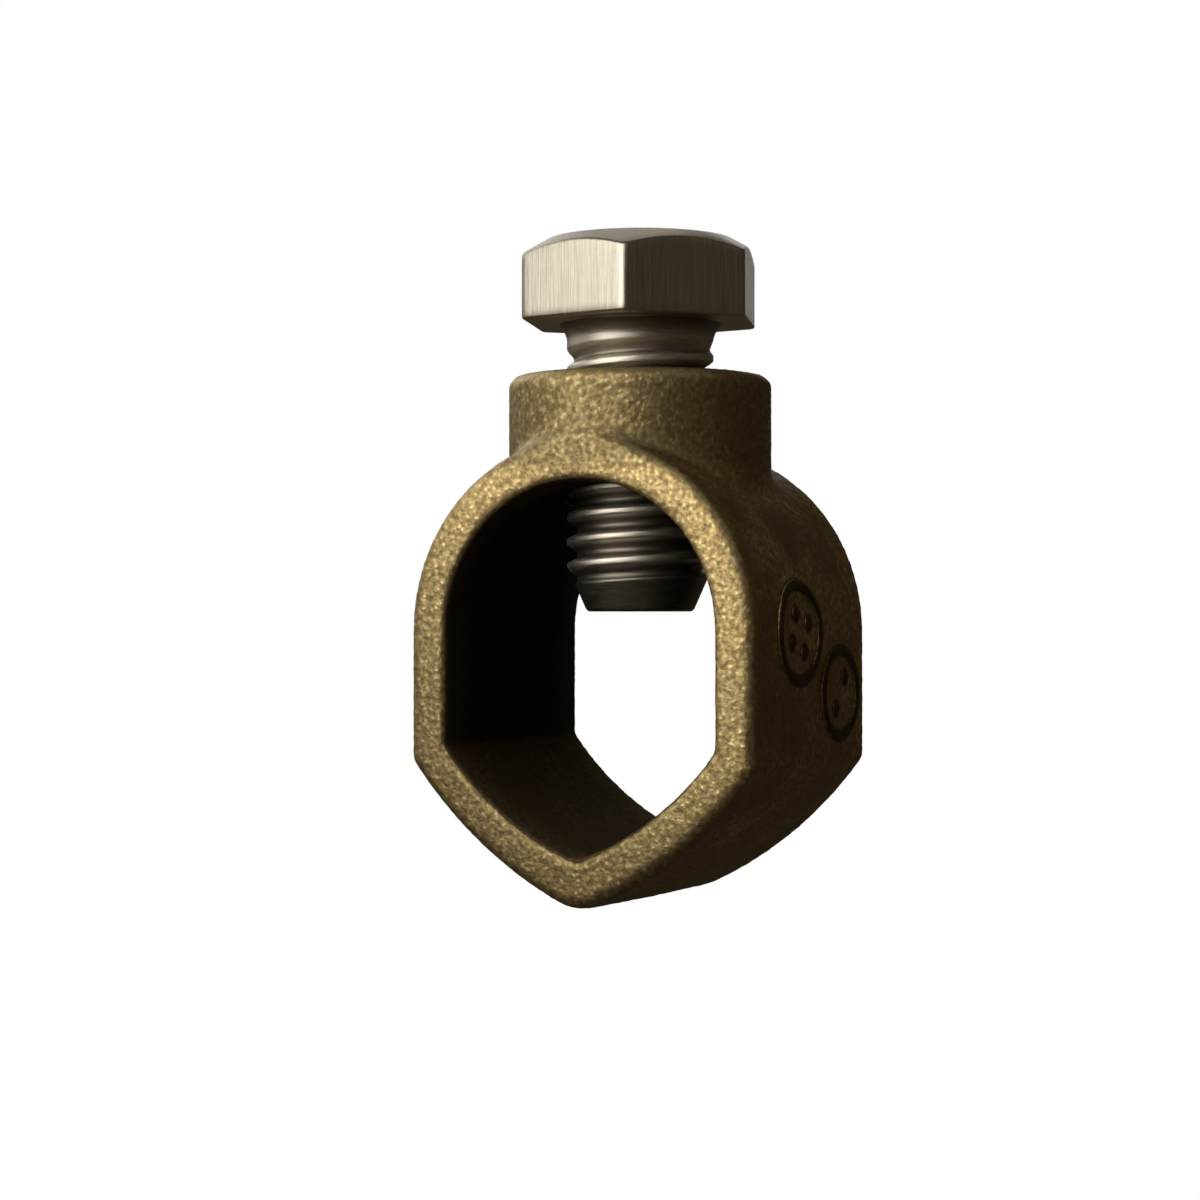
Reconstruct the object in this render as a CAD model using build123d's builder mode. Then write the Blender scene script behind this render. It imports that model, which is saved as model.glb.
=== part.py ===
"""Earth rod clamp: a one-piece cast bronze loop with a tapped boss, and the hex bolt that clamps in it.

Frame, in millimetres: +Y runs along the earth rod, +Z along the bolt towards its head, and +X to the
right of the loop seen from the front. The origin is the axis of a nominal 5/8 in rod resting in the
pointed seat, half-way through the loop's depth.
"""

from build123d import *

import os
from math import atan, degrees, hypot, radians, sqrt, tan

# Rod and loop: the seat's two legs are arcs that meet in a point, and the top is a half round.
ROD_DIAMETER = 14.2
LOOP_DEPTH = 17.7
OPENING_HALF_WIDTH = 9.4
WALL = 2.8
INNER_SHOULDER_DROP = 7.2
INNER_POINT_DROP = 14.1
INNER_LEG_RADIUS = 20.5
INNER_SHOULDER_BLEND = 4.5
INNER_POINT_BLEND = 1.4
OUTER_SHOULDER_DROP = 8.3
OUTER_POINT_DROP = 17.6
OUTER_LEG_RADIUS = 28.0
OUTER_SHOULDER_BLEND = 8.0
OUTER_POINT_BLEND = 3.5
DRAFT = 0.06
OUTER_FACE_EDGE = 0.8
INNER_FACE_EDGE = 0.3

# Boss that carries the thread.
BOSS_RADIUS = 8.5
BOSS_TOP_RISE = 16.45
BOSS_TOP_EDGE = 0.5
BOSS_ROOT_FILLET = 1.0

# Bolt: 3/8-16 UNC, fully threaded, with the shank drawn at the thread's major diameter.
THREAD_DIAMETER = 9.525
THREAD_CLEARANCE = 0.05
HOLE_COUNTERSINK = 0.5
SHANK_LENGTH = 18.65
HEAD_ABOVE_BOSS = 3.45
HEAD_ACROSS_FLATS = 14.2875
HEAD_HEIGHT = 5.2
HEAD_FACE_RADIUS = 6.4
HEAD_ROOT_FLARE = 0.6
HEAD_TURN = 50.3
HEAD_CHAMFER_ANGLE = 30.0
POINT_LENGTH = 3.0
POINT_RADIUS = 3.45


def leg_centre(half_width, shoulder_drop, point_drop, radius):
    """Centre of the right leg's arc, from the shoulder to the point, below the arch's centre."""
    across, down = half_width, point_drop - shoulder_drop
    chord = hypot(across, down)
    rise = sqrt(radius**2 - (chord / 2) ** 2)
    return (
        half_width / 2 - down / chord * rise,
        across / chord * rise - (shoulder_drop + point_drop) / 2,
    )


# A rod resting on both legs fixes how far the arch's centre stands above the rod's axis.
leg_x, leg_z = leg_centre(
    OPENING_HALF_WIDTH, INNER_SHOULDER_DROP, INNER_POINT_DROP, INNER_LEG_RADIUS
)
ARCH_Z = sqrt((INNER_LEG_RADIUS - ROD_DIAMETER / 2) ** 2 - leg_x**2) - leg_z
BOSS_TOP_Z = ARCH_Z + BOSS_TOP_RISE
HEAD_Z = BOSS_TOP_Z + HEAD_ABOVE_BOSS
TIP_Z = HEAD_Z - SHANK_LENGTH



def loop_outline(plane, half_width, shoulder_drop, point_drop, leg_radius, shoulder_blend, point_blend):
    """Closed outline of the loop, inside or outside: half round, straight flanks, and pointed seat."""
    shoulder_z = ARCH_Z - shoulder_drop
    with BuildSketch(plane) as outline:
        with BuildLine():
            CenterArc((0, ARCH_Z), half_width, 0, 180)
            for side in (-1, 1):
                Line((side * half_width, ARCH_Z), (side * half_width, shoulder_z))
                RadiusArc(
                    (side * half_width, shoulder_z), (0, ARCH_Z - point_drop), side * leg_radius
                )
        make_face()
        corners = outline.vertices().group_by(Axis.Y)
        fillet(corners[0], point_blend)
        fillet(corners[1], shoulder_blend)
    return outline.sketch


def opening_outline(plane, widening):
    """Outline of the opening, wider by the mould's draft at the faces."""
    return loop_outline(
        plane,
        OPENING_HALF_WIDTH + widening,
        INNER_SHOULDER_DROP,
        INNER_POINT_DROP + widening,
        INNER_LEG_RADIUS,
        INNER_SHOULDER_BLEND,
        INNER_POINT_BLEND,
    )


def outer_outline(plane, narrowing):
    """Outside outline of the loop, narrower by the mould's draft at the faces."""
    return loop_outline(
        plane,
        OPENING_HALF_WIDTH + WALL - narrowing,
        OUTER_SHOULDER_DROP,
        OUTER_POINT_DROP - narrowing,
        OUTER_LEG_RADIUS,
        OUTER_SHOULDER_BLEND,
        OUTER_POINT_BLEND,
    )


# The loop is built deeper than it ends up, so that the boss is blended in clear of the faces.
BUILD_HALF_DEPTH = LOOP_DEPTH / 2 + 4.0
DRAFT_ANGLE = degrees(atan(DRAFT / (LOOP_DEPTH / 2)))
PARTING = Plane.XZ
HOLE_RADIUS = THREAD_DIAMETER / 2 + THREAD_CLEARANCE

with BuildPart() as clamp_loop:
    # Each half of the outside tapers from the mould's parting plane towards its face.
    extrude(outer_outline(PARTING, 0).face(), amount=BUILD_HALF_DEPTH, taper=DRAFT_ANGLE)
    mirror(about=PARTING)
    with BuildSketch(Plane.XY.offset(ARCH_Z)):
        Circle(BOSS_RADIUS)
    extrude(amount=BOSS_TOP_RISE)
    # The boss runs out into the arch along two curves, one on each side.
    boss_root = clamp_loop.edges().filter_by(GeomType.BSPLINE).filter_by(
        lambda edge: (edge @ 0.5).Z > ARCH_Z + WALL
    )
    fillet(boss_root, BOSS_ROOT_FILLET)
    with BuildSketch(Plane.XZ.offset(-LOOP_DEPTH / 2)):
        Rectangle(60, 80)
    extrude(amount=LOOP_DEPTH, mode=Mode.INTERSECT)

    for end in (0, -1):
        flat_face = clamp_loop.faces().filter_by(GeomType.PLANE).filter_by(Plane.XZ).sort_by(Axis.Y)[end]
        fillet(flat_face.outer_wire().edges(), OUTER_FACE_EDGE)

    # The rod's opening is narrowest at the parting plane and widens to both faces, where its edge
    # is eased.
    for side in (-1, 1):
        ease_start = Plane.XZ.offset(side * (LOOP_DEPTH / 2 - INNER_FACE_EDGE))
        extrude(
            opening_outline(PARTING, 0).face(),
            amount=side * BUILD_HALF_DEPTH,
            taper=-DRAFT_ANGLE,
            mode=Mode.SUBTRACT,
        )
        extrude(
            opening_outline(ease_start, DRAFT).face(),
            amount=side * 2 * INNER_FACE_EDGE,
            taper=-45,
            mode=Mode.SUBTRACT,
        )
    chamfer(clamp_loop.edges().filter_by(GeomType.CIRCLE).sort_by(Axis.Z)[-1], BOSS_TOP_EDGE)

    # The tapped hole goes right through the boss into the opening, with an eased mouth.
    with BuildSketch(Plane.XY.offset(BOSS_TOP_Z)):
        Circle(HOLE_RADIUS)
    extrude(amount=-BOSS_TOP_RISE, mode=Mode.SUBTRACT)
    mouth = clamp_loop.edges().filter_by(GeomType.CIRCLE).filter_by(
        lambda edge: abs(edge.radius - HOLE_RADIUS) < 0.001
    )
    chamfer(mouth.sort_by(Axis.Z)[-1], HOLE_COUNTERSINK)
clamp_loop.part.label = "clamp_loop"

with BuildPart() as clamp_bolt:
    with BuildSketch(Plane.XY.offset(HEAD_Z)):
        RegularPolygon(HEAD_ACROSS_FLATS / 2, 6, major_radius=False, rotation=HEAD_TURN)
    extrude(amount=HEAD_HEIGHT)
    # A cone round the top takes the six corners off.
    cone_drop = (HEAD_ACROSS_FLATS - HEAD_FACE_RADIUS) * tan(radians(HEAD_CHAMFER_ANGLE))
    with BuildSketch(Plane.XZ):
        with BuildLine():
            Polyline(
                (0, HEAD_Z),
                (HEAD_ACROSS_FLATS, HEAD_Z),
                (HEAD_ACROSS_FLATS, HEAD_Z + HEAD_HEIGHT - cone_drop),
                (HEAD_FACE_RADIUS, HEAD_Z + HEAD_HEIGHT),
                (0, HEAD_Z + HEAD_HEIGHT),
                close=True,
            )
        make_face()
    revolve(axis=Axis.Z, mode=Mode.INTERSECT)
    # Shank and chamfered point, down to the flat that bears on the rod.
    with BuildSketch(Plane.XZ):
        with BuildLine():
            Polyline(
                (0, TIP_Z),
                (POINT_RADIUS, TIP_Z),
                (THREAD_DIAMETER / 2, TIP_Z + POINT_LENGTH),
                (THREAD_DIAMETER / 2, HEAD_Z),
                (0, HEAD_Z),
                close=True,
            )
        make_face()
    revolve(axis=Axis.Z)
    rings = clamp_bolt.edges().filter_by(GeomType.CIRCLE)
    chamfer(rings.filter_by_position(Axis.Z, HEAD_Z - 0.01, HEAD_Z + 0.01), HEAD_ROOT_FLARE)
clamp_bolt.part.label = "clamp_bolt"

os.makedirs("parts", exist_ok=True)
export_step(clamp_loop.part, "parts/clamp_loop.step")
export_step(clamp_bolt.part, "parts/clamp_bolt.step")
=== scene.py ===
"""Earth rod clamp: the look of the sand-cast bronze loop and of the hex bolt that clamps in it.

Metres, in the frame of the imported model: +Y along the earth rod, +Z along the bolt towards its
head, and +X to the right of the loop seen from the front. Sizes of pieces are in millimetres.
"""

from __future__ import annotations

import logging
import math
from dataclasses import dataclass, field
from enum import Enum

import bmesh
import bpy
import numpy as np
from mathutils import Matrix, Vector

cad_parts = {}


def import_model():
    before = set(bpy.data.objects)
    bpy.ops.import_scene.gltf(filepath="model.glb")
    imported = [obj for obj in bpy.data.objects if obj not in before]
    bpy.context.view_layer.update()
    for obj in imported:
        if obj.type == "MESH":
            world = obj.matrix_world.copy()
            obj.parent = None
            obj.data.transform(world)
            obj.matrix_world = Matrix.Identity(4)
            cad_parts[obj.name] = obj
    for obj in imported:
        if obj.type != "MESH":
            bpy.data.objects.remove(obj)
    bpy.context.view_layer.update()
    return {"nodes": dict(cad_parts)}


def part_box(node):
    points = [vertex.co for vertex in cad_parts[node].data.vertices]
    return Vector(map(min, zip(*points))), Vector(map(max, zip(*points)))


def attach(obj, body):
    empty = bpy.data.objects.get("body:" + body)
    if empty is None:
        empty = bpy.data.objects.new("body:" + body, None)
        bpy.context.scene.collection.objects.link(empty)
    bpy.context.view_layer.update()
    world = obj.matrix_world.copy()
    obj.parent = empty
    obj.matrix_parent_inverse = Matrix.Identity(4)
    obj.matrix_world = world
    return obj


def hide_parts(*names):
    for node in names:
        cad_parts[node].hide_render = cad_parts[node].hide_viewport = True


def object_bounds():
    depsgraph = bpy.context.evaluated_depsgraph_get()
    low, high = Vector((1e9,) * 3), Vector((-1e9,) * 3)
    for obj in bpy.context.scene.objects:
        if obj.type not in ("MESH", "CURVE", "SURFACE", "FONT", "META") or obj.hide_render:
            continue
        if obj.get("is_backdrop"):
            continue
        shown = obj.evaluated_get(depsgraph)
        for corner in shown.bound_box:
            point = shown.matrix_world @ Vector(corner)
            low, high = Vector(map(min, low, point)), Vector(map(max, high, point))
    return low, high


LOG = logging.getLogger("earth_rod_clamp")
MM = 0.001
WELD_DISTANCE = 1e-6

Colour = tuple[float, float, float, float]
Span = tuple[float, float]


class Axis(Enum):
    """The three outputs of a Separate XYZ node."""

    X = 0
    Y = 1
    Z = 2


class Ray(Enum):
    """The outputs of a Light Path node that tell what kind of ray asks."""

    CAMERA = "Is Camera Ray"
    GLOSSY = "Is Glossy Ray"
    TRANSMISSION = "Is Transmission Ray"


class Output(Enum):
    """The nodes that end a material's and a world's tree."""

    MATERIAL = "ShaderNodeOutputMaterial"
    WORLD = "ShaderNodeOutputWorld"


class Signal:
    """One output of a tree's nodes, with arithmetic written as operators."""

    def __init__(self, shader: Shader, socket: bpy.types.NodeSocket) -> None:
        """Keeps the output and the tree that it belongs to."""
        self.shader = shader
        self.socket = socket

    def __add__(self, other: Signal | float) -> Signal:
        """Sum."""
        return self.shader.math("ADD", self, other)

    __radd__ = __add__

    def __sub__(self, other: Signal | float) -> Signal:
        """Difference."""
        return self.shader.math("SUBTRACT", self, other)

    def __rsub__(self, other: float) -> Signal:
        """Difference from a plain number, as in 1 - mask."""
        return self.shader.math("SUBTRACT", other, self)

    def __mul__(self, other: Signal | float) -> Signal:
        """Product."""
        return self.shader.math("MULTIPLY", self, other)

    __rmul__ = __mul__

    def __pow__(self, other: float) -> Signal:
        """Power."""
        return self.shader.math("POWER", self, other)

    def __neg__(self) -> Signal:
        """Opposite."""
        return self * -1.0

    def __abs__(self) -> Signal:
        """Absolute value."""
        return self.shader.math("ABSOLUTE", self)

    def inverse(self) -> Signal:
        """One minus this signal, held between 0 and 1."""
        return self.shader.math("SUBTRACT", 1.0, self, clamp=True)

    def larger(self, other: Signal | float) -> Signal:
        """The larger of two signals."""
        return self.shader.math("MAXIMUM", self, other)

    def rise(self, low: float, high: float) -> Signal:
        """A smooth step: 0 below low, 1 above high."""
        settings = {"interpolation_type": "SMOOTHSTEP"}
        return self.shader.make("ShaderNodeMapRange", [self, low, high, 0.0, 1.0], settings)

    def along(self, axis: Axis) -> Signal:
        """One component of a vector signal."""
        return self.shader.make("ShaderNodeSeparateXYZ", [self], output=axis.value)

    def scaled(self, x: float, y: float, z: float) -> Signal:
        """A vector signal with each component multiplied by its own factor."""
        return self.shader.vector("MULTIPLY", [self, (x, y, z)])

    def times(self, amount: Signal) -> Signal:
        """A colour or vector signal multiplied by a number signal."""
        return self.shader.vector("SCALE", {"Vector": self, "Scale": amount})

    def dot(self, other: Signal) -> Signal:
        """Dot product of two vector signals."""
        return self.shader.vector("DOT_PRODUCT", [self, other], output="Value")


class Shader:
    """A material or a world being built: its node tree and the ways of adding to it."""

    def __init__(self, holder: bpy.types.Material | bpy.types.World) -> None:
        """Starts with that material's or world's tree, emptied."""
        self.holder = holder
        holder.use_nodes = True
        self.tree = holder.node_tree
        self.tree.nodes.clear()

    def plug(self, value: Signal | float | tuple, socket: bpy.types.NodeSocket) -> None:
        """Links a signal to an input, or sets a plain value on it."""
        if isinstance(value, Signal):
            self.tree.links.new(value.socket, socket)
        else:
            socket.default_value = value

    def make(
        self,
        kind: str,
        inputs: list | dict,
        settings: dict | None = None,
        output: int | str = 0,
    ) -> Signal:
        """Adds any node.

        Args:
            kind: the node's type name.
            inputs: values or signals, in the order of the inputs or by input name.
            settings: properties to set on the node, before its inputs.
            output: which output is wanted.

        Returns:
            That output.
        """
        node = self.tree.nodes.new(kind)
        for key, value in (settings or {}).items():
            setattr(node, key, value)
        pairs = inputs.items() if isinstance(inputs, dict) else enumerate(inputs)
        for key, value in pairs:
            self.plug(value, node.inputs[key])
        return Signal(self, node.outputs[output])

    def math(
        self,
        operation: str,
        first: Signal | float,
        second: Signal | float = 0.0,
        clamp: bool = False,
    ) -> Signal:
        """A Math node.

        Args:
            operation: name of the node's operation.
            first: first input.
            second: second input, for operations that have one.
            clamp: whether the result is held between 0 and 1.

        Returns:
            The node's output.
        """
        settings = {"operation": operation, "use_clamp": clamp}
        return self.make("ShaderNodeMath", [first, second], settings)

    def vector(self, operation: str, inputs: list | dict, output: int | str = 0) -> Signal:
        """A Vector Math node of that operation."""
        return self.make("ShaderNodeVectorMath", inputs, {"operation": operation}, output)

    def show(self, surface: Signal, output: Output = Output.MATERIAL) -> None:
        """Ends the tree with that surface."""
        out = self.tree.nodes.new(output.value)
        self.plug(surface, out.inputs["Surface"])

    def place(self) -> Signal:
        """Position on the object, in millimetres."""
        at = self.make("ShaderNodeTexCoord", [], output="Object")
        return at.scaled(1 / MM, 1 / MM, 1 / MM)

    def facing(self) -> Signal:
        """The surface's outward direction on the object."""
        return self.make("ShaderNodeTexCoord", [], output="Normal")

    def noise(self, at: Signal, scale: float, detail: float, rough: float) -> Signal:
        """Fractal noise from 0 to 1; scale is in grains per unit of at."""
        inputs = {"Vector": at, "Scale": scale, "Detail": detail, "Roughness": rough}
        return self.make("ShaderNodeTexNoise", inputs)

    def cells(self, at: Signal, scale: float) -> Signal:
        """Distance to the nearest of scattered points, which reads as packed sand."""
        settings = {"feature": "SMOOTH_F1"}
        inputs = {"Vector": at, "Scale": scale, "Smoothness": 0.6}
        return self.make("ShaderNodeTexVoronoi", inputs, settings)

    def blend(
        self, factor: Signal | float, low: Signal | Colour, high: Signal | Colour
    ) -> Signal:
        """A mix of two colours."""
        settings = {"data_type": "RGBA"}
        inputs = {0: factor, 6: low, 7: high}
        return self.make("ShaderNodeMix", inputs, settings, output=2)

    def seen_by(self, rays: tuple[Ray, ...]) -> Signal:
        """1 for those kinds of ray, 0 for the others."""
        seen = self.make("ShaderNodeLightPath", [], output=rays[0].value)
        for ray in rays[1:]:
            seen = seen.larger(self.make("ShaderNodeLightPath", [], output=ray.value))
        return seen

    def finish(
        self,
        colour: Signal,
        metallic: Signal | float,
        rough: Signal,
        relief: Signal,
        depth: float,
    ) -> bpy.types.Material:
        """Ends the material with a Principled shader.

        Args:
            colour: base colour.
            metallic: from 0 to 1.
            rough: roughness.
            relief: height of the surface from 0 to 1.
            depth: height that 1 stands for, in millimetres.

        Returns:
            The material.
        """
        bump = {"Height": relief, "Distance": depth * MM, "Strength": 1.0}
        normal = self.make("ShaderNodeBump", bump)
        surface = self.make(
            "ShaderNodeBsdfPrincipled",
            {"Base Color": colour, "Metallic": metallic, "Roughness": rough, "Normal": normal},
        )
        self.show(surface)
        return self.holder


@dataclass(frozen=True)
class RingMark:
    """A cast ring with plain pips in it, on the loop's right flank. Sizes in millimetres.

    across and up are its centre along Y and Z, and line is half the width of its stroke.
    """

    across: float
    up: float
    radius: float
    pips: int
    line: float = 0.33
    pip_spread: float = 0.45
    pip_start: float = 0.3
    pip_stain: float = 0.6
    fade: float = 0.16

    def mask(self, across: Signal, up: Signal) -> Signal:
        """1 on the ring's line and on its pips, 0 elsewhere."""
        mark = self.circle(across, up, (self.across, self.up), self.radius)
        for centre in self.pip_centres():
            pip = self.circle(across, up, centre, self.line * self.pip_stain)
            mark = mark.larger(pip)
        return mark

    def pip_centres(self) -> list[tuple[float, float]]:
        """Places of the pips, evenly round the ring's middle."""
        turns = [math.tau * (pip + self.pip_start) / self.pips for pip in range(self.pips)]
        reach = self.radius * self.pip_spread
        return [(self.across + reach * math.cos(t), self.up + reach * math.sin(t)) for t in turns]

    def circle(
        self, across: Signal, up: Signal, centre: tuple[float, float], radius: float
    ) -> Signal:
        """A round stroke, which closes to a filled spot where its radius is under half its width."""
        off = (across - centre[0]) ** 2.0 + (up - centre[1]) ** 2.0
        gap = abs(off**0.5 - radius)
        return 1.0 - gap.rise(self.line, self.line + self.fade)


@dataclass(frozen=True)
class CastBronze:
    """Sand-cast bronze: golden on the raised grains, brown between them, nearly black inside from
    tarnish and painted shade.

    Lengths in millimetres. A span is where a smooth step starts and ends. The boss's spans are
    heights over the middle of the loop's arch.
    """

    name: str = "cast bronze"
    peaks: Colour = (0.79, 0.67, 0.39, 1.0)
    body: Colour = (0.46, 0.352, 0.158, 1.0)
    pits: Colour = (0.205, 0.146, 0.063, 1.0)
    # dark colour of tarnish and painted shade, for the inside walls and the marks' lines
    tarnish_and_shade: Colour = (0.030, 0.020, 0.008, 1.0)
    grains_per_mm: float = 2.7
    grain_weight: float = 0.95
    sand_per_grain: float = 0.9
    sand_weight: float = 0.5
    sunk: float = 0.17
    relief: float = 0.062
    body_span: Span = (0.15, 0.6)
    peaks_span: Span = (0.5, 0.85)
    golden: float = 0.68
    patches_per_mm: float = 0.22
    patches_span: Span = (0.2, 0.7)
    # painted light: the colour is lighter towards the upper right and darker towards the lower left
    light_ramp_span: Span = (-14.0, 17.0)
    light_ramp_gain: float = 0.74
    least_bright: float = 0.57
    # painted shade over the boss, with a painted highlight at its rim
    boss_span: Span = (9.6, 11.0)
    boss_rim_highlight_span: Span = (15.2, 16.3)
    boss_rim_highlight: float = 0.7
    boss_shade: float = 0.52
    face_span: Span = (0.3, 0.9)
    # where the painted edge highlight sets in, by how much the surface faces up
    edge_span: Span = (-0.1, 0.4)
    inside_span: Span = (7.0, 9.2)
    mouth_span: Span = (5.0, 8.6)
    upturned_span: Span = (0.2, 0.7)
    # tarnish with painted shade inside: its base share, and the painted shade's range with depth and
    # facing
    inside_darkening: float = 0.78
    painted_shade_range: float = 0.2
    flank_span: Span = (0.2, 0.6)
    mark_darkening: float = 0.88
    roughness: float = 0.62
    polish: float = 0.25
    crust: float = 0.3
    metal: float = 0.85
    flank_relief: float = 0.55
    marks: tuple[RingMark, ...] = (RingMark(-1.9, 6.2, 3.0, 4), RingMark(4.4, 2.3, 2.75, 2))

    def build(self, arch_z: float) -> bpy.types.Material:
        """Makes the material.

        Args:
            arch_z: height of the middle of the loop's arch; what faces it is an inside wall.

        Returns:
            The material.
        """
        shader = Shader(bpy.data.materials.new(self.name))
        at, facing = shader.place(), shader.facing()
        height = self.grain(shader, at)
        face = abs(facing.along(Axis.Y)).rise(*self.face_span)
        inward = -(at.scaled(1.0, 0.0, 1.0).dot(facing) - facing.along(Axis.Z) * arch_z)
        inside = inward.rise(*self.inside_span)

        colour = shader.blend(height.rise(*self.body_span), self.pits, self.body)
        golden = height.rise(*self.peaks_span) * self.golden
        colour = shader.blend(golden, colour, self.peaks)
        # painted light and shade scale the colour: lighter to the upper right, darker over the boss
        colour = colour.times(self.painted_light(at, arch_z))
        colour = shader.blend(self.dullness(shader, at, face), colour, self.pits)
        # painted highlight on the up-facing rims of the two faces
        colour = shader.blend(self.edge_highlight(facing, face), colour, self.peaks)
        # tarnish and painted shade on the inside walls: darkest deep in the loop, least where they
        # face up
        colour = shader.blend(inside * self.patina_and_shade(at, facing), colour, self.tarnish_and_shade)
        # the marks' lines are darkened towards the same dark colour as the inside walls
        marked = self.marked(at, facing) * (1.0 - inside)
        colour = shader.blend(marked * self.mark_darkening, colour, self.tarnish_and_shade)

        rough = (height * -self.polish + self.roughness) + inside * self.crust
        metallic = inside * (1.0 - self.metal) + self.metal
        relief = height * (face * (1.0 - self.flank_relief) + self.flank_relief)
        return shader.finish(colour, metallic, rough, relief, self.relief)

    def grain(self, shader: Shader, at: Signal) -> Signal:
        """Height of the skin, about 0 to 1: fine noise, with rounded sand grains standing out."""
        noise = shader.noise(at, self.grains_per_mm, 3.0, 0.62)
        sand = shader.cells(at, self.grains_per_mm * self.sand_per_grain)
        return (noise * self.grain_weight + sand.inverse() ** 3.0 * self.sand_weight) - self.sunk

    def painted_light(self, at: Signal, arch_z: float) -> Signal:
        """Painted light and shade on the colour: lighter to the upper right, darker over the boss.
        """
        up = at.along(Axis.Z)
        # painted light: lighter towards the upper right, darker towards the lower left
        light_ramp = (at.along(Axis.X) * 0.6 + up * 0.8).rise(*self.light_ramp_span)
        start, rim_start = self.boss_span, self.boss_rim_highlight_span
        # painted shade over the boss, lessened at its rim, where it leaves a painted highlight
        boss = up.rise(arch_z + start[0], arch_z + start[1])
        boss = boss - up.rise(arch_z + rim_start[0], arch_z + rim_start[1]) * self.boss_rim_highlight
        return light_ramp * self.light_ramp_gain - boss * self.boss_shade + self.least_bright

    def dullness(self, shader: Shader, at: Signal, face: Signal) -> Signal:
        """Brown patches, on all but the loop's two faces."""
        patches = shader.noise(at, self.patches_per_mm, 3.0, 0.6)
        return (1.0 - face) * patches.rise(*self.patches_span)

    def edge_highlight(self, facing: Signal, face: Signal) -> Signal:
        """Painted highlight on the rims of the two faces, where they look up."""
        return face * (1.0 - face) * facing.along(Axis.Z).rise(*self.edge_span)

    def patina_and_shade(self, at: Signal, facing: Signal) -> Signal:
        """Tarnish and painted shade on an inside wall: darkest halfway through the loop, least where
        it looks up.
        """
        depth_in = 1.0 - abs(at.along(Axis.Y)).rise(*self.mouth_span)
        upturned = facing.along(Axis.Z).rise(*self.upturned_span)
        more = self.painted_shade_range
        return depth_in * more + self.inside_darkening - upturned * more

    def marked(self, at: Signal, facing: Signal) -> Signal:
        """1 on the marks of the right flank."""
        across, up = at.along(Axis.Y), at.along(Axis.Z)
        marks = self.marks[0].mask(across, up)
        for mark in self.marks[1:]:
            marks = marks.larger(mark.mask(across, up))
        return marks * facing.along(Axis.X).rise(*self.flank_span)


@dataclass(frozen=True)
class MachinedSteel:
    """Bolt steel: upright brushing on the head's flats, turned lines on the thread, and painted
    shade in the thread's roots and under the head.

    Lengths in millimetres. A span is where a smooth step starts and ends.
    """

    name: str = "bolt steel"
    bright: Colour = (0.53, 0.495, 0.42, 1.0)
    dull: Colour = (0.40, 0.36, 0.29, 1.0)
    # painted light: the thread's steel is a lighter copy of the head's
    thread: Colour = (0.78, 0.73, 0.63, 1.0)
    # painted shade colour, for the thread's roots and the neck under the head
    painted_shade: Colour = (0.05, 0.038, 0.025, 1.0)
    streaks_per_mm: float = 9.0
    streak_stretch: float = 0.03
    rings_across: float = 0.7
    bright_span: Span = (0.3, 0.7)
    smudges_per_mm: float = 0.35
    smudge_span: Span = (0.55, 0.8)
    smudged: float = 0.35
    # painted shade under the head: how far below it it starts, and where it is full
    neck_shade_drop: Span = (1.8, 0.1)
    root_shade: float = 0.75
    neck_shade: float = 0.85
    roughness: float = 0.22
    thread_roughness: float = 0.12
    relief: float = 0.012

    def build(
        self, head_z: float, root_radius: float, crest_radius: float
    ) -> bpy.types.Material:
        """Makes the material.

        Args:
            head_z: height of the head's underside.
            root_radius: radius of the thread's roots.
            crest_radius: radius of its crests.

        Returns:
            The material.
        """
        shader = Shader(bpy.data.materials.new(self.name))
        at = shader.place()
        up = at.along(Axis.Z)
        head = up.rise(head_z - 0.05, head_z + 0.02)
        shank = 1.0 - head
        streak = self.streaks(shader, at, head)
        radius = at.scaled(1.0, 1.0, 0.0).dot(at.scaled(1.0, 1.0, 0.0)) ** 0.5
        # painted shade in the thread's roots: 1 at the roots, 0 near the crests
        depth = (1.0 - radius.rise(root_radius + 0.2, crest_radius - 0.02)) * shank
        smudge = shader.noise(at, self.smudges_per_mm, 3.0, 0.6)
        # painted shade down the top of the neck, under the head
        low, high = self.neck_shade_drop
        under_head = up.rise(head_z - low, head_z - high) * shank

        colour = shader.blend(streak.rise(*self.bright_span), self.dull, self.bright)
        colour = shader.blend(smudge.rise(*self.smudge_span) * self.smudged, colour, self.dull)
        # painted light: the thread gets a lighter steel than the head, along its turned lines
        colour = shader.blend(shank * streak, colour, self.thread)
        # painted shade darkens the thread's roots and the neck under the head
        shaded = (depth * self.root_shade).larger(under_head * self.neck_shade)
        colour = shader.blend(shaded, colour, self.painted_shade)
        rough = (streak * self.roughness + self.roughness) + shank * self.thread_roughness
        return shader.finish(colour, 1.0, rough, streak, self.relief)

    def streaks(self, shader: Shader, at: Signal, head: Signal) -> Signal:
        """Tool lines from 0 to 1: upright on the head, round the axis on the thread."""
        fine, across = self.streaks_per_mm, self.rings_across
        brushed = shader.noise(at.scaled(fine, fine, fine * self.streak_stretch), 1.0, 3.0, 0.65)
        turned = shader.noise(at.scaled(across, across, fine), 1.0, 2.0, 0.6)
        return brushed * head + turned * (1.0 - head)


def sheet(rows: np.ndarray) -> tuple[np.ndarray, np.ndarray]:
    """Points and four-sided faces of a grid.

    Args:
        rows: points as (row, column, xyz). Rows go down and columns anticlockwise seen from above,
            so that the faces point outward. The last column repeats the first.

    Returns:
        Points as (n, 3), and faces as (m, 4) indices.
    """
    down, round_ = rows.shape[:2]
    index = np.arange(down * round_).reshape(down, round_)
    faces = np.stack([index[:-1, :-1], index[1:, :-1], index[1:, 1:], index[:-1, 1:]], axis=-1)
    return rows.reshape(-1, 3), faces.reshape(-1, 4)


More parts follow.
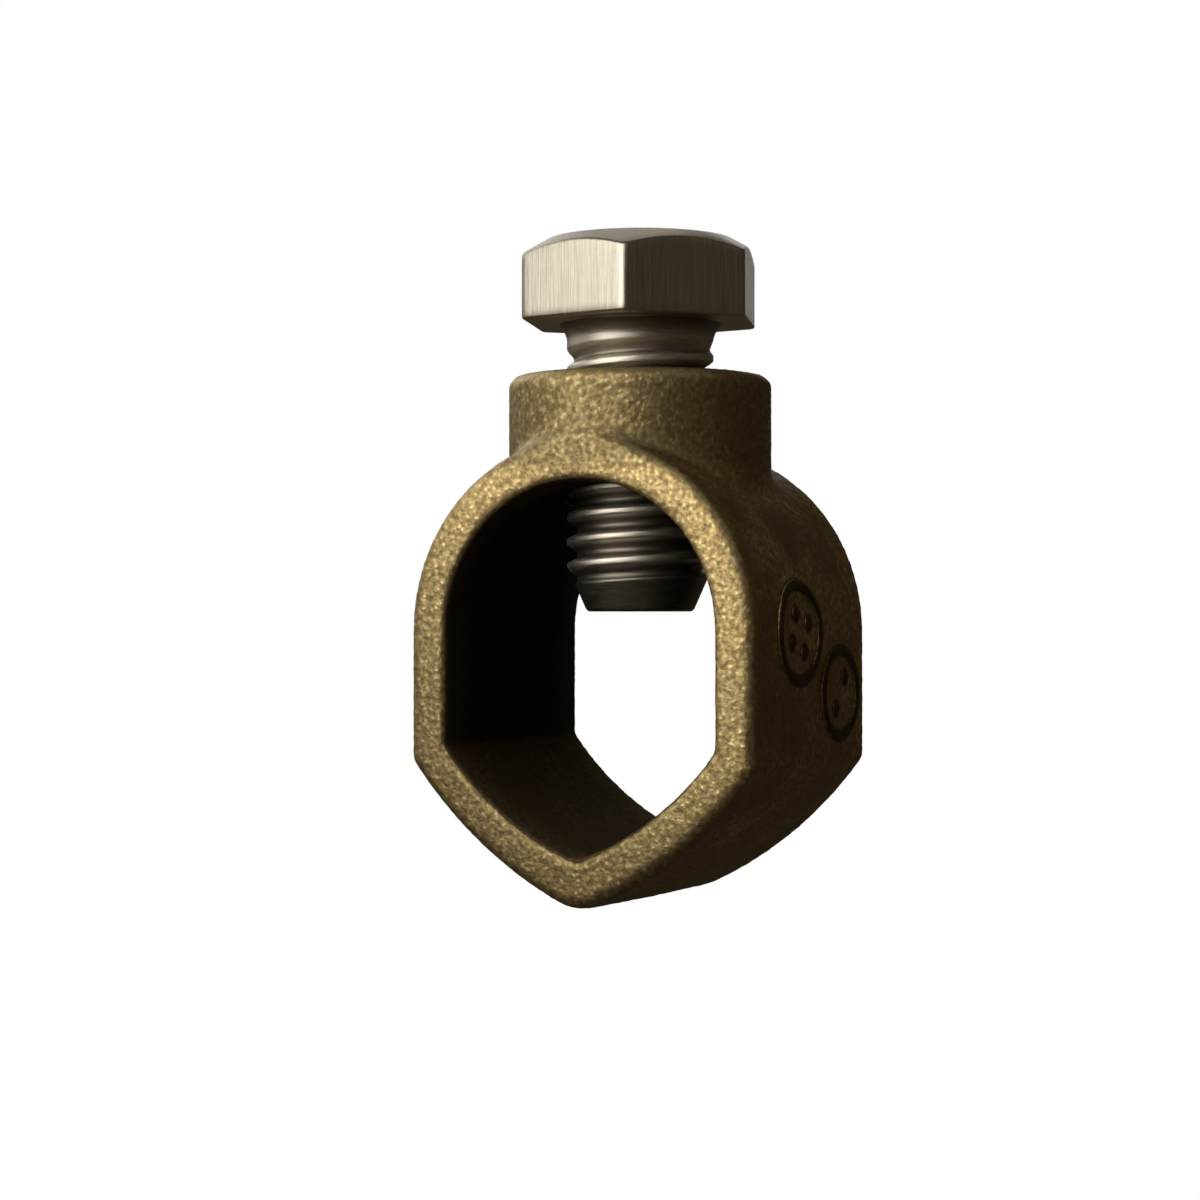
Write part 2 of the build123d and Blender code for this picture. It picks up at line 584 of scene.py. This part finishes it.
def solid(name: str, grids: list[np.ndarray], material: bpy.types.Material) -> bpy.types.Object:
    """A closed piece from grids whose seams, poles and shared rims are welded.

    Args:
        name: the piece's name.
        grids: arrays as sheet() takes, in millimetres.
        material: its finish.

    Returns:
        The new object, at the origin, linked to the scene.
    """
    points, faces, start = [], [], 0
    for grid in grids:
        grid_points, grid_faces = sheet(grid)
        points.append(grid_points * MM)
        faces.append(grid_faces + start)
        start += len(grid_points)
    mesh = bpy.data.meshes.new(name)
    mesh.from_pydata(np.concatenate(points), [], np.concatenate(faces))
    work = bmesh.new()
    work.from_mesh(mesh)
    bmesh.ops.remove_doubles(work, verts=work.verts, dist=WELD_DISTANCE)
    work.to_mesh(mesh)
    work.free()
    mesh.validate()
    mesh.materials.append(material)
    mesh.shade_smooth()
    piece = bpy.data.objects.new(name, mesh)
    bpy.context.scene.collection.objects.link(piece)
    return piece


def rounded(radius: np.ndarray, turn: np.ndarray, z: np.ndarray) -> np.ndarray:
    """A grid round Z: x is radius times cos turn, and y is radius times sin turn.

    Args:
        radius: each point's radius, as (row, column).
        turn: each column's angle.
        z: each point's height, as (row, column).

    Returns:
        Points as (row, column, xyz).
    """
    return np.stack([radius * np.cos(turn)[None, :], radius * np.sin(turn)[None, :], z], axis=-1)


@dataclass(frozen=True)
class Thread:
    """A rolled 3/8-16 thread, turned about Z. Sizes in millimetres.

    turn_form is one turn from crest to crest: how far along the pitch, and how deep, where 1 is
    the root.
    """

    major_radius: float = 9.525 / 2
    pitch: float = 25.4 / 16
    height: float = 0.44 * 25.4 / 16
    crest_offset: float = 9.28
    turn_form: tuple[tuple[float, float], ...] = (
        (0.00, 0.12), (0.04, 0.03), (0.10, 0.00), (0.155, 0.00), (0.21, 0.00), (0.27, 0.03),
        (0.31, 0.12), (0.39, 0.48), (0.47, 0.85), (0.53, 0.97), (0.60, 1.00), (0.66, 1.00),
        (0.73, 0.97), (0.79, 0.85), (0.89, 0.48),
    )  # fmt: skip

    def climb(self, turn: np.ndarray, low: np.ndarray | float, high: float) -> np.ndarray:
        """Heights of rows that follow the thread's lines, held between two ends.

        Args:
            turn: angles round the axis, one for each column.
            low: lower end, which may differ from column to column.
            high: upper end.

        Returns:
            Heights as (row, column), rising; a row's height is its place along the pitch plus the
            column's share of a turn.
        """
        along = np.array(self.turn_form)[:, 0]
        first = math.floor((float(np.min(low)) - self.crest_offset) / self.pitch) - 1
        last = math.ceil((high - self.crest_offset) / self.pitch) + 1
        place = (np.arange(first, last)[:, None] + along[None, :]).reshape(-1)
        z = self.crest_offset + self.pitch * (place[:, None] + turn[None, :] / math.tau)
        return np.clip(z, low, high)

    def depth(self, turn: np.ndarray, z: np.ndarray) -> np.ndarray:
        """How far the thread's surface lies under the major radius, by turn and height."""
        along, deep = np.array(self.turn_form).T
        phase = (z - self.crest_offset) / self.pitch - turn[None, :] / math.tau
        return self.height * np.interp(phase, along, deep, period=1.0)


@dataclass
class ClampBolt:
    """Hexagon-head screw, threaded to the head, with a chamfered point. Sizes in millimetres."""

    across_flats: float = 14.2875
    head_height: float = 5.2
    face_radius: float = 6.0
    face_rings: tuple[float, ...] = (0.0, 0.35, 0.7, 0.97)
    crown: float = 0.23
    chamfer_slope: float = math.tan(math.radians(30.0))
    corner_turn: float = math.radians(50.3)
    corner_sharpness: float = 75.0
    edge: float = 0.16
    flat_rows: int = 9
    flare_out: float = 0.5
    flare_drop: float = 1.0
    flare_bend: float = 1.4
    point_length: float = 3.0
    point_radius: float = 3.45
    point_ease: float = 0.2
    runout: float = 2.0
    runin: float = 1.1
    steps_round: int = 240
    form: Thread = field(default_factory=Thread)
    finish: MachinedSteel = field(default_factory=MachinedSteel)
    tip_z: float = field(init=False)
    head_z: float = field(init=False)
    turn: np.ndarray = field(init=False)

    def build(self) -> bpy.types.Object:
        """Makes the bolt, in place of the plain one, and hangs it on its body."""
        low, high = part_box("clamp_bolt")
        self.tip_z = low[2] / MM
        self.head_z = high[2] / MM - self.head_height
        self.turn = np.linspace(0.0, math.tau, self.steps_round + 1)
        crest_radius = self.form.major_radius
        material = self.finish.build(self.head_z, crest_radius - self.form.height, crest_radius)
        piece = solid("hex_bolt", [self.head(), self.thread(), self.point()], material)
        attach(piece, "bolt")
        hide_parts("clamp_bolt")
        return piece

    @property
    def cone_slope(self) -> float:
        """How much the point's radius grows with height."""
        return (self.form.major_radius - self.point_radius) / self.point_length

    def ring(self, radius: np.ndarray | float, z: np.ndarray | float) -> np.ndarray:
        """One row of a grid: points at that radius and height round the bolt's axis."""
        radius = np.broadcast_to(radius, self.turn.shape)
        z = np.broadcast_to(z, self.turn.shape)
        return np.stack([radius * np.cos(self.turn), radius * np.sin(self.turn), z], axis=-1)

    def hexagon(self) -> np.ndarray:
        """Radius of the rounded hexagon at each turn.

        The six flats' distances are joined with a high power, which leaves the flats flat and
        rounds the corners a little.
        """
        normals = self.corner_turn + math.radians(30.0) + np.arange(6) * math.radians(60.0)
        lean = np.maximum(np.cos(self.turn[:, None] - normals[None, :]), 0.0)
        total = np.sum(lean**self.corner_sharpness, axis=1)
        return self.across_flats / 2 * total ** (-1.0 / self.corner_sharpness)

    def head(self) -> np.ndarray:
        """The head's grid, as radius and height of each row, from the middle of its top down.

        Top face, corner chamfer at its slope outside the face's circle, eased edge, six flats,
        eased edge, underside, and a root that flares out to it with a power of the share left.
        """
        side, slope, edge = self.hexagon(), self.chamfer_slope, self.edge
        face, neck, under = self.face_radius, self.form.major_radius, self.head_z
        top = self.head_z + self.head_height + self.crown
        lip = top - (side - face) * slope
        shares = np.linspace(0.0, 1.0, self.flat_rows)
        rows = [(share * face, top) for share in self.face_rings]
        rows += [
            (face, top - 0.02),
            (face + 0.15, top - 0.15 * slope - 0.01),
            (side - edge, lip + edge * slope),
            (side - edge * 0.25, lip - edge * 0.1),
        ]
        rows += [(side, (lip - edge) * (1 - share) + (under + edge) * share) for share in shares]
        rows += [(side - edge * 0.28, under + edge * 0.28), (side - edge, under)]
        for share in (0.4, 0.8):
            rows.append(((side - edge) * (1 - share) + (neck + self.flare_out) * share, under))
        for share in shares:
            radius = neck + self.flare_out * (1 - share) ** self.flare_bend
            rows.append((radius, under - self.flare_drop * share))
        return np.stack([self.ring(radius, z) for radius, z in rows])

    def thread(self) -> np.ndarray:
        """The thread's grid: major radius less the thread's depth.

        The depth runs out under the head and at the tip, and the radius is cut to the point's cone.
        """
        low, high = self.tip_z + self.point_ease, self.head_z - self.flare_drop
        z = self.form.climb(self.turn, low, high)
        fade_up = np.clip((high - z) / self.runout, 0.0, 1.0)
        fade_down = np.clip((z - low) / self.runin, 0.0, 1.0)
        fade = fade_up * fade_down
        cone = self.point_radius + (z - self.tip_z) * self.cone_slope
        radius = np.minimum(self.form.major_radius - self.form.depth(self.turn, z) * fade, cone)
        return rounded(radius, self.turn, z)[::-1]

    def point(self) -> np.ndarray:
        """The point's grid: the eased rim and the flat that bears on the rod."""
        tip, flat = self.tip_z, self.point_radius
        rows = [
            (flat + self.point_ease * self.cone_slope, tip + self.point_ease),
            (flat - 0.02, tip + 0.07),
            (flat - 0.12, tip + 0.01),
            (flat - 0.25, tip),
            (flat * 0.5, tip),
            (0.0, tip),
        ]
        return np.stack([self.ring(radius, z) for radius, z in rows])


@dataclass
class CastLoop:
    """The bronze casting, with the thread tapped in its boss and the marks raised on its flank.

    Sizes in millimetres, heights over the middle of the loop's arch. The flank leans in towards the
    loop's two faces, as the mould needs, by draft for each millimetre.
    """

    voxel: float = 0.22
    softening: float = 0.5
    softening_passes: int = 7
    sand_size: float = 0.4
    sand_height: float = 0.08
    opening_radius: float = 9.4
    boss_rise: float = 16.45
    draft: float = 0.0068
    thread_top: float = 13.2
    thread_gap: float = 0.04
    thread_back: float = 5.0
    arch_gap: float = 0.12
    mark_rise: float = 0.2
    pip_width: float = 1.5
    section_points: int = 13
    dome_points: int = 9
    columns: int = 192
    form: Thread = field(default_factory=Thread)
    finish: CastBronze = field(default_factory=CastBronze)
    half_width: float = field(init=False)
    arch_z: float = field(init=False)
    material: bpy.types.Material = field(init=False)

    def build(self, node: bpy.types.Object) -> list[bpy.types.Object]:
        """Dresses the loop's node and adds what the plain solid leaves out.

        Args:
            node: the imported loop.

        Returns:
            The loop, its tapped thread and its marks.
        """
        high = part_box("clamp_loop")[1]
        self.half_width = high[0] / MM
        self.arch_z = high[2] / MM - self.boss_rise
        self.material = self.finish.build(self.arch_z)
        self.dress(node)
        return [node, self.tapped_thread(), self.raised_marks()]

    def dress(self, node: bpy.types.Object) -> None:
        """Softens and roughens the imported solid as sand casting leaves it."""
        remesh = node.modifiers.new("even skin", "REMESH")
        remesh.mode = "VOXEL"
        remesh.voxel_size = self.voxel * MM
        remesh.use_smooth_shade = True
        soften = node.modifiers.new("soft edges", "SMOOTH")
        soften.factor = self.softening
        soften.iterations = self.softening_passes
        sand = bpy.data.textures.new("moulding sand", "CLOUDS")
        sand.noise_scale = self.sand_size * MM
        sand.noise_depth = 2
        rough = node.modifiers.new("moulding sand", "DISPLACE")
        rough.texture = sand
        rough.texture_coords = "LOCAL"
        rough.strength = self.sand_height * MM
        rough.mid_level = 0.5
        for slot in node.material_slots:
            slot.material = self.material

    def tapped_thread(self) -> bpy.types.Object:
        """The thread in the boss: a closed sleeve round the bolt's thread, a gap away from it.

        Its lower end follows the arch of the opening: the arch's middle height plus the square root
        of the opening's radius squared less x squared.
        """
        turn = np.linspace(0.0, math.tau, self.columns + 1)
        across = self.form.major_radius * np.cos(turn)
        low = self.arch_z + np.sqrt(self.opening_radius**2 - across**2) + self.arch_gap
        high = self.arch_z + self.thread_top
        z = self.form.climb(turn, low, high)
        fade = np.clip((high - z) / self.form.pitch, 0.0, 1.0)
        radius = self.form.major_radius + self.thread_gap - self.form.depth(turn, z) * fade
        z = np.concatenate([z, z[-1:], low[None, :], z[:1]])
        back = np.full((2, len(turn)), self.thread_back)
        radius = np.concatenate([radius, back, radius[:1]])
        piece = solid("tapped_thread", [rounded(radius, turn, z)], self.material)
        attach(piece, "loop")
        return piece

    def flank(self, across: np.ndarray, up: np.ndarray) -> np.ndarray:
        """X of the right flank at Y and Z: half the width, less the arch's fall and the draft."""
        above = np.maximum(up - self.arch_z, 0.0)
        return np.sqrt(self.half_width**2 - above**2) - self.draft * np.abs(across)

    def raised_marks(self) -> bpy.types.Object:
        """The rings and pips cast on the right flank, half sunk in it.

        A ring is a torus with a flattened section, and a pip is a flattened ball.
        """
        turn = np.linspace(0.0, math.tau, self.columns // 2 + 1)
        around = np.linspace(0.0, math.tau, self.section_points)
        bow = np.linspace(math.pi / 2, -math.pi / 2, self.dome_points)
        dome = self.mark_rise * np.sin(bow)
        lift = self.mark_rise * np.sin(around)
        grids = []
        for mark in self.finish.marks:
            reach = mark.radius + mark.line * np.cos(around)
            grids.append(self.on_flank(mark.across, mark.up, reach, lift, turn))
            for across, up in mark.pip_centres():
                reach = mark.line * self.pip_width * np.cos(bow)
                grids.append(self.on_flank(across, up, reach, dome, turn[::4]))
        piece = solid("cast_marks", grids, self.material)
        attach(piece, "loop")
        return piece

    def on_flank(
        self, across: float, up: float, reach: np.ndarray, lift: np.ndarray, turn: np.ndarray
    ) -> np.ndarray:
        """A grid turned about a point of the flank.

        Args:
            across: the point's Y.
            up: the point's Z.
            reach: each row's distance from the point, along the flank.
            lift: each row's height over the flank.
            turn: the columns' angles round the point.

        Returns:
            Points as (row, column, xyz).
        """
        y = across + reach[:, None] * np.cos(turn)[None, :]
        z = up + reach[:, None] * np.sin(turn)[None, :]
        return np.stack([self.flank(y, z) + lift[:, None], y, z], axis=-1)


def direction(azimuth: float, elevation: float = 0.0) -> Vector:
    """The way out at an azimuth from +X and an elevation over the floor, in degrees."""
    turn, lift = math.radians(azimuth), math.radians(elevation)
    level = math.cos(lift)
    return Vector((level * math.cos(turn), level * math.sin(turn), math.sin(lift)))


@dataclass(frozen=True)
class SoftBox:
    """A rectangular studio lamp, aimed at the clamp. Angles in degrees, sizes in metres."""

    name: str
    azimuth: float
    elevation: float
    distance: float
    width: float
    height: float
    radiance: float
    tint: tuple[float, float, float] = (1.0, 1.0, 1.0)

    def build(self, target: Vector) -> None:
        """Hangs the lamp; its power is its radiance times its area and pi."""
        lamp = bpy.data.lights.new(self.name, "AREA")
        lamp.shape = "RECTANGLE"
        lamp.size, lamp.size_y = self.width, self.height
        lamp.energy = self.radiance * self.width * self.height * math.pi
        lamp.color = self.tint
        holder = bpy.data.objects.new(self.name, lamp)
        way = direction(self.azimuth, self.elevation)
        holder.location = target + way * self.distance
        holder.rotation_euler = (-way).to_track_quat("-Z", "Y").to_euler()
        holder.visible_camera = False
        bpy.context.scene.collection.objects.link(holder)


@dataclass
class Studio:
    """Floor, backdrop, lamps, sky and camera.

    Angles in degrees, and lengths in metres unless a name says otherwise.
    """

    lens_mm: float = 78.85
    sensor_mm: float = 36.0
    nearest: float = 0.01
    camera_azimuth: float = -62.63
    camera_distance: float = 0.1706
    camera_height: float = 0.00762
    camera_turn: float = 118.246
    camera_tilt: float = 0.22
    floor_drop: float = 0.8
    floor_half: float = 1.5
    backdrop_distance: float = 1.4
    backdrop_half: float = 0.4
    backdrop_foot: float = 0.1
    sky: Colour = (0.058, 0.045, 0.030, 1.0)
    white: Colour = (1.0, 1.0, 1.0, 1.0)
    cloth: Colour = (0.7, 0.68, 0.65, 1.0)
    cloth_roughness: float = 0.8
    lamps: tuple[SoftBox, ...] = (
        SoftBox("key", -110.0, 24.0, 0.17, 0.21, 0.17, 2.3, (1.0, 0.97, 0.92)),
        SoftBox("strip", -112.0, 8.0, 0.12, 0.035, 0.05, 2.5, (1.0, 0.97, 0.92)),
        SoftBox("back", 163.0, 32.0, 0.4, 0.3, 0.25, 1.3, (1.0, 0.97, 0.93)),
        SoftBox("crown", 122.0, 55.0, 0.4, 0.2, 0.2, 0.6, (1.0, 0.97, 0.93)),
        SoftBox("left", -178.0, 12.0, 0.4, 0.25, 0.3, 0.5, (1.0, 0.96, 0.9)),
        SoftBox("edge", 5.0, 35.0, 0.5, 0.12, 0.3, 0.12, (1.0, 0.93, 0.82)),
    )

    def build(self) -> None:
        """Sets everything round the clamp."""
        low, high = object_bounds()
        target = (Vector(low) + Vector(high)) / 2
        for lamp in self.lamps:
            lamp.build(target)
        self.hang_sky()
        self.lay_floor(low[2] - self.floor_drop)
        self.hang_backdrop()
        self.set_camera()
        bpy.context.scene.view_settings.view_transform = "Standard"

    def hang_sky(self) -> None:
        """A dim warm sky that the camera sees as plain white."""
        shader = Shader(bpy.data.worlds.new("sky"))
        bpy.context.scene.world = shader.holder
        dim = shader.make("ShaderNodeBackground", {"Color": self.sky})
        plain = shader.make("ShaderNodeBackground", {"Color": self.white})
        seen = shader.seen_by((Ray.CAMERA,))
        shader.show(shader.make("ShaderNodeMixShader", [seen, dim, plain]), Output.WORLD)

    def white_sheet(self, name: str, corners: list[Vector], rays: tuple[Ray, ...]) -> None:
        """A flat pale sheet that some kinds of ray see as plain white.

        Args:
            name: its name.
            corners: its four corners.
            rays: the kinds of ray that see it white.
        """
        mesh = bpy.data.meshes.new(name)
        mesh.from_pydata(corners, [], [(0, 1, 2, 3)])
        shader = Shader(bpy.data.materials.new(name))
        cloth = {"Base Color": self.cloth, "Roughness": self.cloth_roughness}
        dull = shader.make("ShaderNodeBsdfPrincipled", cloth)
        white = shader.make("ShaderNodeEmission", {"Color": self.white, "Strength": 1.0})
        shader.show(shader.make("ShaderNodeMixShader", [shader.seen_by(rays), dull, white]))
        mesh.materials.append(shader.holder)
        piece = bpy.data.objects.new(name, mesh)
        bpy.context.scene.collection.objects.link(piece)
        piece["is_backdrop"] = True

    def lay_floor(self, z: float) -> None:
        """A pale floor at that height, well below the clamp."""
        half = self.floor_half
        corners = [(-half, -half, z), (half, -half, z), (half, half, z), (-half, half, z)]
        self.white_sheet("floor", [Vector(corner) for corner in corners], (Ray.CAMERA,))

    def hang_backdrop(self) -> None:
        """A white sheet behind the clamp, opposite the camera, which the metal reflects too."""
        middle = direction(self.camera_azimuth + 180.0) * self.backdrop_distance
        side = direction(self.camera_azimuth + 270.0) * self.backdrop_half
        foot = Vector((0.0, 0.0, self.backdrop_foot))
        top = Vector((0.0, 0.0, self.backdrop_foot + 2 * self.backdrop_half))
        corners = [
            middle + side + foot,
            middle - side + foot,
            middle - side + top,
            middle + side + top,
        ]
        self.white_sheet("backdrop", corners, (Ray.CAMERA, Ray.GLOSSY, Ray.TRANSMISSION))

    def set_camera(self) -> None:
        """Puts the camera at the front, to the right, level with the opening."""
        lens = bpy.data.cameras.new("camera")
        lens.lens = self.lens_mm
        lens.sensor_width = self.sensor_mm
        lens.clip_start = self.nearest
        holder = bpy.data.objects.new("camera", lens)
        place = direction(self.camera_azimuth) * self.camera_distance
        holder.location = place + Vector((0.0, 0.0, self.camera_height))
        ahead = direction(self.camera_turn, self.camera_tilt)
        holder.rotation_euler = ahead.to_track_quat("-Z", "Y").to_euler()
        bpy.context.scene.collection.objects.link(holder)
        bpy.context.scene.camera = holder


def main() -> None:
    """Builds the clamp's look and the studio, and reports each piece."""
    logging.basicConfig(level=logging.INFO, format="%(name)s: %(message)s")
    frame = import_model()
    pieces = CastLoop().build(frame["nodes"]["clamp_loop"]) + [ClampBolt().build()]
    Studio().build()
    depsgraph = bpy.context.evaluated_depsgraph_get()
    for piece in pieces:
        sides = [face.loop_total for face in piece.evaluated_get(depsgraph).data.polygons]
        LOG.info("%s: %d triangles", piece.name, sum(sides) - 2 * len(sides))


if __name__ == "__main__":
    main()
